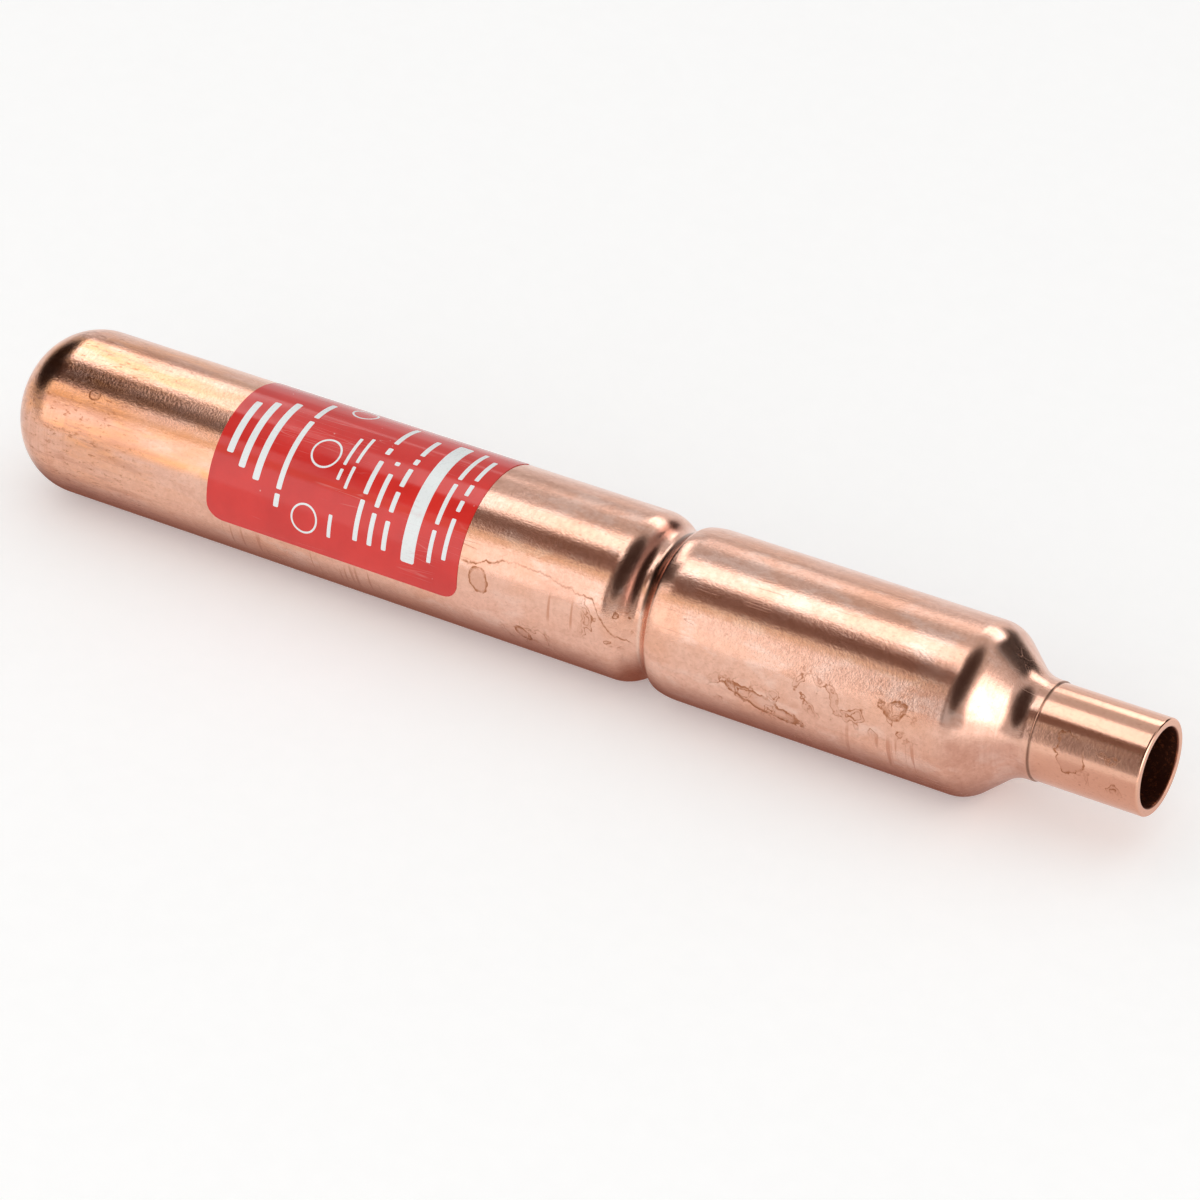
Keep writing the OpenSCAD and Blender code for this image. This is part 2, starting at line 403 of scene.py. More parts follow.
# Places on the tube are mm from the mouth and degrees from the top towards the front. A patch is its ends
# along the tube, then its ends round it, and its soft edges are mm along and round. A noise is its stretch
# along and across the tube, scale, detail and roughness, and a share is the range of it over which a mark
# comes in, with the strengths at its ends. A change along the tube is two places and the values there.
copperLook = {
    "clean": (0.85, 0.515, 0.40, 1.0),
    "warm": (0.83, 0.455, 0.32, 1.0),
    "heated": (0.86, 0.40, 0.20, 1.0),
    "tarnish": (0.58, 0.28, 0.19, 1.0),
    "stain": (0.38, 0.135, 0.055, 1.0),
    "spun": (0.60, 0.27, 0.175, 1.0),
    # painted shade for the groove's corner and the sizing step
    "paintedShade": (0.16, 0.085, 0.055, 1.0),
    # a painted reflection for the lower part of the groove's corner
    "paintedReflection": (0.92, 0.7, 0.58, 1.0),
    "bore": (0.11, 0.024, 0.012, 1.0),
    "boreSkin": (0.5, 0.14, 0.05, 1.0),
    "pale": (0.9, 0.63, 0.53, 1.0),
    # painted shade, a dark reflection, for the groove's wall
    "rolled": (0.3, 0.09, 0.055, 1.0),
    "roughness": 0.11,
    "mottleRoughness": 0.08,
    "grainHeight": 2.1e-5,  # m
    "grainScale": 2100.0,
    "mottleScale": 55.0,
    "warmShare": (0.42, 0.68),
    "markScale": 150.0,
    "spunEnd": (29.0, 38.0, 0.42, 1.0),  # grain is finer here
    "domedEnd": (164.0, 186.0, 1.0, 1.3),  # and coarser here
    "drawnLines": ((0.05, 1.0), 2600.0, 3.0, 0.6),  # left by the drawing die
    "spinLines": ((1.0, 0.012), 1900.0, 2.0, 0.6),  # left by spinning
    "spinShare": (0.4, 0.85),
    # where spinning shows: a place of the shape and an offset, reach where it is full and gone, strength
    "spinning": {
        "dome": ("length", -10.0, 2.0, 9.0, 1.0),
        "neck": ("neckFoot", 7.3, 4.0, 11.0, 0.45),
        "groove": ("grooveAt", 0.5, 3.0, 8.0, 0.32),
    },
    # dried water rings: place along and round, half length, half width, slant, wobble, line
    "waterRings": [
        (114.6, 79.0, 1.7, 2.0, 0.3, 1.3, 0.24),
        (106.4, 109.0, 1.5, 1.2, 0.4, 1.6, 0.26),
        (61.8, 98.0, 6.6, 1.5, 0.24, 1.6, 0.26),
        (38.7, 72.0, 1.9, 1.5, -0.2, 1.6, 0.30),
        (193.8, 42.6, 1.1, 1.0, 0.0, 0.9, 0.20),
        (11.8, 70.0, 2.4, 5.8, 0.35, 1.6, 0.30),
    ],
    "ringWander": ((1.0, 1.0), 380.0, 5.0, 0.62),
    "tideLine": {
        "first": 87.0,
        "last": 118.2,
        "degrees": 65.0,
        "fall": 6.5,  # towards the groove
        "fallLength": 8.0,
        "wobble": 7.0,
        "ripple": ((1.0, 0.3), 150.0, 4.0, 0.6),
        "line": 0.30,
        "soft": 0.8,
        "faintMiddle": (3.0, 11.0, 0.4, 1.0),  # from the line's middle
    },
    # small drops that dried into rims like the lines of a map
    "dropPatches": [
        (35.0, 57.0, 66.0, 92.0),
        (55.0, 71.0, 87.0, 107.0),
        (101.0, 110.0, 102.0, 118.0),
        (84.0, 95.0, 66.0, 96.0),
        (1.5, 9.0, 56.0, 100.0),
    ],
    "dropSoft": (2.0, 1.5),
    "dropNoise": ((1.0, 1.0), 290.0, 3.0, 0.5),
    "dropLevels": (0.555, 0.635),
    "dropLine": 0.026,
    "dropInside": (0.55, 0.57),
    "rimBreaks": ((1.0, 1.0), 520.0, 4.0, 0.66),
    "rimShare": (0.36, 0.56, 0.3, 1.0),
    # short scratches that run round the tube
    "tickPatches": [(134.0, 166.0, 102.0, 119.0), (92.5, 103.0, 72.0, 90.0), (33.0, 47.0, 92.0, 116.0)],
    "tickSoft": (1.5, 1.2),
    "tickStretch": 0.05,
    "tickNoise": (1.15, 1.0, 0.4),
    "tickShare": (0.6, 0.67),
    # from the groove's middle: its corner, with painted shade above and a painted reflection below, and its
    # wall with painted shade
    "paintedCorner": (-2.3, -0.6, -20.0, 62.0),
    "paintedCornerSoft": (0.35, 1.5),
    "rolledWall": (1.0, 2.8, -24.0, 66.0),
    "rolledSoft": (0.6, 2.5),
    # from the stub's end: a line of painted shade along the sizing step
    "sizingLine": (-0.25, 0.15),
    "sizingSoft": 0.15,
    "sizingShade": 0.75,
    # the bore of the stub keeps the dull skin of the annealed tube
    "boreEdge": (0.05, 0.3, 1.0, 0.0),  # mm outwards from the bore
    "boreEnd": (24.0, 30.0, 1.0, 0.0),
    "boreSkinNoise": ((1.0, 1.0), 1300.0, 4.0, 0.7),
    "boreSkinShare": (0.5, 0.72),
    "boreStrength": 0.93,
    # clouds of colour, each over the last: tone, noise, the range of it that shows and the strengths there,
    # changes along and round the tube, and plain runs of the colour
    "clouds": {
        "blotches": {
            "tone": "tarnish", "noise": ((1.0, 1.0), 850.0, 4.0, 0.68), "share": (0.34, 0.66, 0.0, 0.3),
        },
        "heat": {
            "tone": "heated", "noise": ((0.25, 1.0), 210.0, 4.0, 0.6), "share": (0.4, 0.62, 0.0, 1.0),
            "along": (150.0, 194.0, 0.06, 0.95), "around": (72.0, 96.0, 1.0, 0.3),
            "runs": [(164.0, 203.0, 66.0, 73.0), (186.0, 206.0, 40.0, 54.0)], "runSoft": (5.0, 0.9),
        },
        "tarnish": {
            "tone": "tarnish", "noise": ((0.35, 1.0), 130.0, 4.0, 0.65), "share": (0.5, 0.74, 0.0, 0.5),
        },
        "washed": {
            "tone": "pale", "noise": ((0.5, 1.0), 240.0, 4.0, 0.62), "share": (0.5, 0.68, 0.0, 0.6),
            "along": (150.0, 185.0, 1.0, 0.15),
        },
        "scorched": {
            "tone": "tarnish", "noise": ((0.16, 1.0), 420.0, 5.0, 0.74), "share": (0.47, 0.66, 0.0, 0.8),
            "along": (160.0, 200.0, 0.0, 1.0),
        },
        "stub": {"tone": "warm", "along": (17.0, 20.0, 0.8, 0.0)},
        "peppered": {
            "tone": "tarnish", "noise": ((0.6, 1.0), 2300.0, 3.0, 0.7), "share": (0.52, 0.72, 0.0, 0.4),
        },
        "pits": {
            "tone": "stain", "noise": ((0.45, 1.0), 1500.0, 3.0, 0.7), "share": (0.56, 0.7, 0.0, 0.75),
            "along": (166.0, 196.0, 0.0, 1.0),
        },
    },
    # marks over the clouds, in order: strength and tone
    "markTints": {
        "spinning": (0.6, "spun"),
        "insides": (0.32, "tarnish"),
        "ticks": (0.75, "spun"),
        "rims": (0.95, "stain"),
        "specks": (0.7, "tarnish"),
        "scratches": (0.35, "spun"),
        # painted reflection in the lower part of the groove's corner
        "paintedReflection": (0.5, "paintedReflection"),
        # painted shade on the groove's wall
        "rolled": (0.75, "rolled"),
        # painted shade in the groove's corner and along the sizing step
        "paintedShade": (0.9, "paintedShade"),
    },
    # what the marks add to the roughness
    "markRoughness": {"drawn": 0.03, "rims": 0.2, "bore": 0.3, "worked": 0.14, "scratches": 0.15},
    # heights of the marks, as a share of the grain's, and how strongly each bends the light
    "markHeights": {"drawnBump": (0.3, 1.0), "spinning": (0.2, 1.0), "scratches": (0.5, 0.6)},
}


def tubePlaces(tree, radius):
    coords = objectCoords(tree)
    axes = addNode(tree, "ShaderNodeSeparateXYZ", {0: coords}).outputs
    turn = maths(tree, "ARCTAN2", maths(tree, "MULTIPLY", axes["Y"], -1.0), axes["Z"])
    squares = [maths(tree, "POWER", axes[axis], 2.0) for axis in "YZ"]
    outwards = maths(tree, "SQRT", maths(tree, "ADD", *squares))
    return {
        "coords": coords,
        "along": maths(tree, "MULTIPLY", axes["X"], -1.0 / mm),
        "around": maths(tree, "MULTIPLY", turn, radius),
        "out": maths(tree, "MULTIPLY", outwards, 1.0 / mm),
        "degree": radius * math.radians(1.0),  # mm of arc
    }


def tubeNoise(tree, tube, stretch, scale, detail, rough):
    along, across = stretch
    mapped = addNode(tree, "ShaderNodeMapping", {"Vector": tube["coords"], "Scale": (along, across, across)})
    return noise(tree, mapped.outputs[0], scale, detail, rough)


def roundPatch(tree, tube, low, high, soft):
    return within(tree, tube["around"], low * tube["degree"], high * tube["degree"], soft)


def patchesMask(tree, tube, patches, soft):
    masks = []
    for first, last, low, high in patches:
        lengthwise = within(tree, tube["along"], first, last, soft[0])
        masks.append(product(tree, lengthwise, roundPatch(tree, tube, low, high, soft[1])))
    return most(tree, *masks)


def cloudMask(tree, tube, cloud):
    parts = []
    if "noise" in cloud:
        parts.append(remap(tree, tubeNoise(tree, tube, *cloud["noise"]), *cloud["share"]))
    if "along" in cloud:
        parts.append(remap(tree, tube["along"], *cloud["along"]))
    if "around" in cloud:
        low, high, atLow, atHigh = cloud["around"]
        degree = tube["degree"]
        parts.append(remap(tree, tube["around"], low * degree, high * degree, atLow, atHigh))
    mask = product(tree, *parts)
    if "runs" in cloud:
        mask = most(tree, mask, patchesMask(tree, tube, cloud["runs"], cloud["runSoft"]))
    return mask


def tideMask(tree, tube, tide):
    first, last = tide["first"], tide["last"]
    fall = remap(tree, tube["along"], first, first + tide["fallLength"], tide["fall"], 0.0)
    level = maths(tree, "ADD", fall, tide["degrees"] * tube["degree"])
    ripple = maths(tree, "SUBTRACT", tubeNoise(tree, tube, *tide["ripple"]), 0.5)
    level = maths(tree, "MULTIPLY_ADD", ripple, tide["wobble"], level)
    line = remap(tree, offFrom(tree, tube["around"], level), 0.0, tide["line"], 1.0, 0.0)
    faint = remap(tree, offFrom(tree, tube["along"], 0.5 * (first + last)), *tide["faintMiddle"])
    return product(tree, line, faint, within(tree, tube["along"], first, last, tide["soft"]))


def waterMasks(tree, tube, look):  # the rims of all that dried on the tube, and what they enclose
    rims = []
    insides = []
    wander = tubeNoise(tree, tube, *look["ringWander"])
    for along, degrees, halfLength, halfWidth, slant, wobble, line in look["waterRings"]:
        ring = useGroup(tree, ringGroup, {
            "Along": tube["along"],
            "Round": tube["around"],
            "Wander": wander,
            "Middle Along": along,
            "Middle Round": degrees * tube["degree"],
            "Half Length": halfLength,
            "Half Width": halfWidth,
            "Slant": slant,
            "Wobble": wobble,
            "Line": line,
        })
        rims.append(ring["Outline"])
        insides.append(ring["Inside"])
    rims.append(tideMask(tree, tube, look["tideLine"]))
    drops = tubeNoise(tree, tube, *look["dropNoise"])
    where = patchesMask(tree, tube, look["dropPatches"], look["dropSoft"])
    for level in look["dropLevels"]:
        rim = remap(tree, offFrom(tree, drops, level), 0.0, look["dropLine"], 1.0, 0.0)
        rims.append(product(tree, rim, where))
    insides.append(product(tree, remap(tree, drops, *look["dropInside"]), where))
    breaks = remap(tree, tubeNoise(tree, tube, *look["rimBreaks"]), *look["rimShare"])
    return product(tree, most(tree, *rims), breaks), most(tree, *insides)


def ticksMask(tree, tube, look):
    across = maths(tree, "MULTIPLY", tube["around"], look["tickStretch"])
    hoopWay = addNode(tree, "ShaderNodeCombineXYZ", {0: tube["along"], 1: across}).outputs[0]
    ticks = remap(tree, noise(tree, hoopWay, *look["tickNoise"]), *look["tickShare"])
    return product(tree, ticks, patchesMask(tree, tube, look["tickPatches"], look["tickSoft"]))


def grooveMasks(tree, tube, look, grooveAt):  # painted shade in the upper part of its corner, a painted reflection in the lower part, painted shade on its wall
    first, last, low, high = look["paintedCorner"]
    softAlong, softRound = look["paintedCornerSoft"]
    corner = within(tree, tube["along"], grooveAt + first, grooveAt + last, softAlong)
    upper = roundPatch(tree, tube, low, high, softRound)
    lower = maths(tree, "SUBTRACT", 1.0, upper)
    # painted shade on the wall towards the dome, from the top to the front
    first, last, low, high = look["rolledWall"]
    rolled = patchesMask(tree, tube, [(grooveAt + first, grooveAt + last, low, high)], look["rolledSoft"])
    return product(tree, corner, upper), product(tree, corner, lower), rolled


def makeCopper(look, shape):
    material, tree, shader = newMaterial("drawnCopper")
    tube = tubePlaces(tree, shape["tubeRadius"])
    along = tube["along"]
    grainValues = {"Vector": tube["coords"], "Scale": look["grainScale"], "Mottle": look["mottleScale"]}
    grain = useGroup(tree, grainGroup, grainValues)
    handling = useGroup(tree, marksGroup, {"Vector": tube["coords"], "Scale": look["markScale"]})
    masks = {"scratches": handling["Scratches"], "specks": handling["Specks"]}
    masks["drawn"] = tubeNoise(tree, tube, *look["drawnLines"])

    near = {}
    for name, (place, offset, full, gone, strength) in look["spinning"].items():
        near[name] = remap(tree, offFrom(tree, along, shape[place] + offset), full, gone, strength, 0.0)
    spun = remap(tree, tubeNoise(tree, tube, *look["spinLines"]), *look["spinShare"])
    masks["spinning"] = product(tree, spun, most(tree, *near.values()))
    masks["worked"] = most(tree, near["neck"], near["groove"])  # worked metal is duller

    masks["rims"], masks["insides"] = waterMasks(tree, tube, look)
    masks["ticks"] = ticksMask(tree, tube, look)
    # painted shade above and a painted reflection below in the groove's corner, painted shade on its wall
    cornerShade, masks["paintedReflection"], masks["rolled"] = grooveMasks(tree, tube, look, shape["grooveAt"])
    # painted shade along the sizing step
    first, last = look["sizingLine"]
    stubEnd = shape["stubLength"]
    sizing = within(tree, along, stubEnd + first, stubEnd + last, look["sizingSoft"])
    masks["paintedShade"] = most(tree, cornerShade, maths(tree, "MULTIPLY", sizing, look["sizingShade"]))
    edge = remap(tree, maths(tree, "SUBTRACT", tube["out"], shape["stubBore"]), *look["boreEdge"])
    masks["bore"] = product(tree, edge, remap(tree, along, *look["boreEnd"]))

    # clean metal under its clouds and marks
    warm = remap(tree, grain["Mottle"], *look["warmShare"])
    colour = mixColour(tree, warm, look["clean"], look["warm"])
    for cloud in look["clouds"].values():
        colour = mixColour(tree, cloudMask(tree, tube, cloud), colour, look[cloud["tone"]])
    for name, (strength, tone) in look["markTints"].items():
        colour = mixColour(tree, maths(tree, "MULTIPLY", masks[name], strength), colour, look[tone])
    skin = remap(tree, tubeNoise(tree, tube, *look["boreSkinNoise"]), *look["boreSkinShare"])
    boreTone = mixColour(tree, skin, look["bore"], look["boreSkin"])
    boreShare = maths(tree, "MULTIPLY", masks["bore"], look["boreStrength"])
    tree.links.new(mixColour(tree, boreShare, colour, boreTone), shader.inputs["Base Color"])

    rough = maths(tree, "MULTIPLY_ADD", grain["Mottle"], look["mottleRoughness"], look["roughness"])
    for name, added in look["markRoughness"].items():
        rough = maths(tree, "MULTIPLY_ADD", masks[name], added, rough)
    tree.links.new(rough, shader.inputs["Roughness"])

    coarse = product(tree, remap(tree, along, *look["spunEnd"]), remap(tree, along, *look["domedEnd"]))
    masks["drawnBump"] = product(tree, masks["drawn"], coarse)
    normal = bump(tree, product(tree, grain["Grain"], coarse), look["grainHeight"])
    for name, (share, strength) in look["markHeights"].items():
        normal = bump(tree, masks[name], look["grainHeight"] * share, strength, under=normal)
    tree.links.new(normal, shader.inputs["Normal"])
    shader.inputs["Metallic"].default_value = 1.0
    return material


copper = makeCopper(copperLook, barrelShape)
print("copper finish built")
barrel = makeBarrel(barrelShape)
finishPiece("copperBarrel", barrel, copper, "housing", barrelShape["sharpAngle"], ["barrel"])


# a glossy film wrapped round the barrel, printed with plain bars and rings

labelShape = {  # mm and degrees
    "start": 118.6,
    "end": 168.0,
    "middle": 29.0,  # from the top towards the front
    "wrap": 141.0,
    "corner": 3.0,
    "cornerSteps": 6,
    "radius": barrelShape["tubeRadius"],
    "thickness": 0.09,
    "facet": 1.5,
    "weld": 1e-4,
    "sharpAngle": 60.0,
}
labelPrintRows = [  # along the tube, height, then each bar's start and end in degrees from the top
    (165.2, 1.3, [(8, 50)]),
    (162.2, 1.3, [(3, 57)]),
    (159.0, 1.3, [(-3, 62)]),
    (154.3, 1.0, [(-17, 6), (10, 63), (66, 75)]),
    (144.3, 0.6, [(11, 34), (37, 45)]),
    (142.4, 0.6, [(8, 30), (33, 49)]),
    (143.6, 0.7, [(68, 84)]),
    (138.5, 0.9, [(-22, 6), (11, 17), (23, 48), (52, 80)]),
    (135.7, 0.9, [(20, 23), (30, 54), (58, 80)]),
    (132.9, 0.9, [(-12, 9), (13, 18), (22, 36), (40, 54), (60, 80)]),
    (128.2, 2.6, [(-17, 83)]),
    (124.2, 0.8, [(-16, 18), (22, 52), (56, 78)]),
    (121.5, 0.8, [(-9, 15), (19, 28), (32, 40), (45, 73)]),
]
labelPrintRings = [  # along the tube, degrees from the top, radius, line
    (148.4, 30.0, 2.75, 0.35),
    (148.6, 76.5, 2.6, 0.35),
    (148.6, -19.0, 2.3, 0.35),
]
labelPrintStyle = {
    "thickness": 0.02,
    "proud": 0.01,
    "corner": 0.45,
    "fullCorner": 2.0,  # bars lower than this have smaller corners
    "ringFacets": 48,
    "weld": 1e-5,
}


def cutStrips(bm, shape):  # narrow strips that bend into a smooth wrap
    steps = int(shape["wrap"] / shape["facet"]) + 1
    for index in range(-steps, steps + 1):
        cut = math.radians(index * shape["facet"]) * shape["radius"]
        bmesh.ops.bisect_plane(
            bm,
            geom=bm.verts[:] + bm.edges[:] + bm.faces[:],
            plane_co=(0.0, cut, 0.0),
            plane_no=(0.0, 1.0, 0.0),
        )


def bendRound(bm, shape, height):  # y becomes the way round the tube, z the way out
    for vert in bm.verts:
        turn = math.radians(shape["middle"]) - vert.co.y / shape["radius"]
        out = shape["radius"] + height + vert.co.z
        vert.co = (vert.co.x, -out * math.sin(turn), out * math.cos(turn))


def thicken(bm, thickness):  # a flat sheet standing on z = 0
    bmesh.ops.recalc_face_normals(bm, faces=bm.faces)
    bmesh.ops.solidify(bm, geom=bm.faces[:], thickness=thickness)
    lowest = min(vert.co.z for vert in bm.verts)
    bmesh.ops.translate(bm, verts=bm.verts, vec=(0.0, 0.0, -lowest))


def wrapRound(bm, shape, thickness, height, weld):
    cutStrips(bm, shape)
    thicken(bm, thickness)
    bendRound(bm, shape, height)
    bmesh.ops.remove_doubles(bm, verts=bm.verts, dist=weld)
    bmesh.ops.recalc_face_normals(bm, faces=bm.faces)


def flatBar(bm, centre, size, corner, steps):
    made = bmesh.ops.create_grid(bm, x_segments=1, y_segments=1, size=0.5)["verts"]
    bmesh.ops.scale(bm, verts=made, vec=(*size, 1.0))
    bmesh.ops.translate(bm, verts=made, vec=(*centre, 0.0))
    bmesh.ops.bevel(bm, geom=made, affect="VERTICES", offset=corner, segments=steps, profile=0.5, material=-1)


def makeLabelFilm(shape):
    bm = bmesh.new()
    centre = (-0.5 * (shape["start"] + shape["end"]), 0.0)
    size = (shape["end"] - shape["start"], math.radians(shape["wrap"]) * shape["radius"])
    flatBar(bm, centre, size, shape["corner"], shape["cornerSteps"])
    wrapRound(bm, shape, shape["thickness"], 0.0, shape["weld"])
    return bm


def makeLabelPrint(shape, rows, rings, style):
    bm = bmesh.new()

    def onFlat(degrees):
        return math.radians(shape["middle"] - degrees) * shape["radius"]

    for along, height, bars in rows:
        corner = style["corner"] * min(1.0, height / style["fullCorner"])
        for first, last in bars:
            centre = (-along, 0.5 * (onFlat(first) + onFlat(last)))
            flatBar(bm, centre, (height, onFlat(first) - onFlat(last)), corner, shape["cornerSteps"])
    for along, degrees, radius, line in rings:
        place = Matrix.Translation((-along, onFlat(degrees), 0.0))
        facets = style["ringFacets"]
        disc = bmesh.ops.create_circle(bm, cap_ends=True, segments=facets, radius=radius, matrix=place)
        faces = list({face for vert in disc["verts"] for face in vert.link_faces})
        bmesh.ops.inset_region(bm, faces=faces, thickness=line, use_boundary=True, use_even_offset=True)
        bmesh.ops.delete(bm, geom=faces, context="FACES_ONLY")
    height = shape["thickness"] + style["proud"] - style["thickness"]
    wrapRound(bm, shape, style["thickness"], height, style["weld"])
    return bm


filmLook = {
    "red": (0.73, 0.03, 0.022, 1.0),
    "deep": (0.62, 0.021, 0.016, 1.0),
    "deepShare": (0.35, 0.7),
    "pale": (0.82, 0.42, 0.38, 1.0),
    "paleSpecks": 0.8,
    "paleScratches": 0.25,
    "grainScale": 900.0,
    "grainHeight": 3e-6,  # m
    "mottleScale": 70.0,
    "ripple": 4e-5,  # m, as the film follows the tube
    "rippleStrength": 0.6,
    "markScale": 190.0,
    "roughness": 0.06,
    "mottleRoughness": 0.06,
    "scratchRoughness": 0.2,
    "specular": 0.55,
}
inkLook = {
    "fresh": (0.83, 0.86, 0.85, 1.0),
    "worn": (0.72, 0.52, 0.52, 1.0),
    "wornShare": (0.6, 0.8, 0.0, 0.5),
    "wornScratches": 0.6,
    "grainScale": 1500.0,
    "grainHeight": 3e-6,  # m
    "mottleScale": 240.0,
    "markScale": 230.0,
    "roughness": 0.22,
    "grainRoughness": 0.12,
}


def surfaceEffects(tree, look):
    coords = objectCoords(tree)
    grainValues = {"Vector": coords, "Scale": look["grainScale"], "Mottle": look["mottleScale"]}
    grain = useGroup(tree, grainGroup, grainValues)
    return grain, useGroup(tree, marksGroup, {"Vector": coords, "Scale": look["markScale"]})


def makeFilm(look):
    material, tree, shader = newMaterial("labelFilm")
    grain, marks = surfaceEffects(tree, look)
    colour = mixColour(tree, remap(tree, grain["Mottle"], *look["deepShare"]), look["red"], look["deep"])
    for name, strength in (("Specks", look["paleSpecks"]), ("Scratches", look["paleScratches"])):
        colour = mixColour(tree, maths(tree, "MULTIPLY", marks[name], strength), colour, look["pale"])
    tree.links.new(colour, shader.inputs["Base Color"])
    rough = maths(tree, "MULTIPLY_ADD", grain["Mottle"], look["mottleRoughness"], look["roughness"])
    rough = maths(tree, "MULTIPLY_ADD", marks["Scratches"], look["scratchRoughness"], rough)
    tree.links.new(rough, shader.inputs["Roughness"])
    normal = bump(tree, grain["Mottle"], look["ripple"], look["rippleStrength"])
    normal = bump(tree, grain["Grain"], look["grainHeight"], under=normal)
    tree.links.new(normal, shader.inputs["Normal"])
    shader.inputs["Specular IOR Level"].default_value = look["specular"]
    return material


def makeWorn(name, look):  # one colour that wears towards another
    material, tree, shader = newMaterial(name)
    grain, marks = surfaceEffects(tree, look)
    scratches = maths(tree, "MULTIPLY", marks["Scratches"], look["wornScratches"])
    worn = most(tree, remap(tree, grain["Mottle"], *look["wornShare"]), scratches)
    tree.links.new(mixColour(tree, worn, look["fresh"], look["worn"]), shader.inputs["Base Color"])
    rough = maths(tree, "MULTIPLY_ADD", grain["Grain"], look["grainRoughness"], look["roughness"])
    tree.links.new(rough, shader.inputs["Roughness"])
    tree.links.new(bump(tree, grain["Grain"], look["grainHeight"]), shader.inputs["Normal"])
    return material


labelAngle = labelShape["sharpAngle"]
film = makeLabelFilm(labelShape)
finishPiece("labelFilm", film, makeFilm(filmLook), "housing", labelAngle, ["label"])
bars = makeLabelPrint(labelShape, labelPrintRows, labelPrintRings, labelPrintStyle)
finishPiece("labelPrint", bars, makeWorn("labelInk", inkLook), "housing", labelAngle)


# the piston and the seals keep their own solids and get a finish

pistonLook = {
    "fresh": (0.8, 0.79, 0.755, 1.0),
    "worn": (0.66, 0.64, 0.59, 1.0),
    "wornShare": (0.5, 0.8, 0.0, 0.45),
    "wornScratches": 1.0,
    "grainScale": 2600.0,
    "grainHeight": 8e-6,  # m
    "mottleScale": 180.0,
    "markScale": 240.0,
    "roughness": 0.32,
    "grainRoughness": 0.2,
}
sealLook = {
    "fresh": (0.018, 0.018, 0.019, 1.0),
    "worn": (0.07, 0.07, 0.072, 1.0),
    "wornShare": (0.5, 0.8, 0.0, 0.45),
    "wornScratches": 1.0,
    "grainScale": 3400.0,
    "grainHeight": 5e-6,  # m
    "mottleScale": 180.0,
    "markScale": 240.0,
    "roughness": 0.45,
    "grainRoughness": 0.2,
}


def refinish(node, material):
    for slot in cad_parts[node].material_slots:
        slot.material = material


refinish("piston", makeWorn("mouldedPiston", pistonLook))
sealFinish = makeWorn("sealRubber", sealLook)
for seal in ("air_side_o_ring", "water_side_o_ring"):
    refinish(seal, sealFinish)
print("piston and seals finished")


# a pale floor, soft fill light and cards that the metal mirrors

stageSetup = {
    "floorSize": 6.0,
    "floorColour": (0.9, 0.895, 0.885, 1.0),
    "floorSpeckle": (0.8865, 0.881575, 0.871725, 1.0),
    "speckleScale": 300.0,
    "speckleShare": (0.3, 0.7),
    "floorRoughness": 0.9,
    "floorSpecular": 0.1,
    "floorLift": 0.23,  # what the floor adds where it is seen or mirrored
    "world": (0.62, 0.62, 0.62, 1.0),
}
white = (1.0, 1.0, 1.0, 1.0)
black = (0.0, 0.0, 0.0, 1.0)
copperShade = (1.0, 0.6, 0.46, 1.0)  # copper mirrored in copper


def makeFloor(setup, level):
    bm = bmesh.new()
    bmesh.ops.create_grid(bm, x_segments=1, y_segments=1, size=0.5 * setup["floorSize"])
    bmesh.ops.translate(bm, verts=bm.verts, vec=(0.0, 0.0, level))
    floor = linkObject("studioFloor", bm)
    material, tree, shader = newMaterial("paleFloor")
    speckle = noise(tree, objectCoords(tree), setup["speckleScale"], 3.0)
    speckle = remap(tree, speckle, *setup["speckleShare"])
    colour = mixColour(tree, speckle, setup["floorColour"], setup["floorSpeckle"])
    tree.links.new(colour, shader.inputs["Base Color"])
    shader.inputs["Roughness"].default_value = setup["floorRoughness"]
    shader.inputs["Specular IOR Level"].default_value = setup["floorSpecular"]
    rays = addNode(tree, "ShaderNodeLightPath").outputs
    seen = most(tree, rays["Is Camera Ray"], rays["Is Glossy Ray"], rays["Is Transmission Ray"])
    shader.inputs["Emission Color"].default_value = white
    lift = maths(tree, "MULTIPLY", seen, setup["floorLift"])
    tree.links.new(lift, shader.inputs["Emission Strength"])
    floor.data.materials.append(material)


makeFloor(stageSetup, cadBox[0].z)
world = bpy.data.worlds.new("studioWorld")
world.use_nodes = True
world.node_tree.nodes["Background"].inputs["Color"].default_value = stageSetup["world"]
scene.world = world

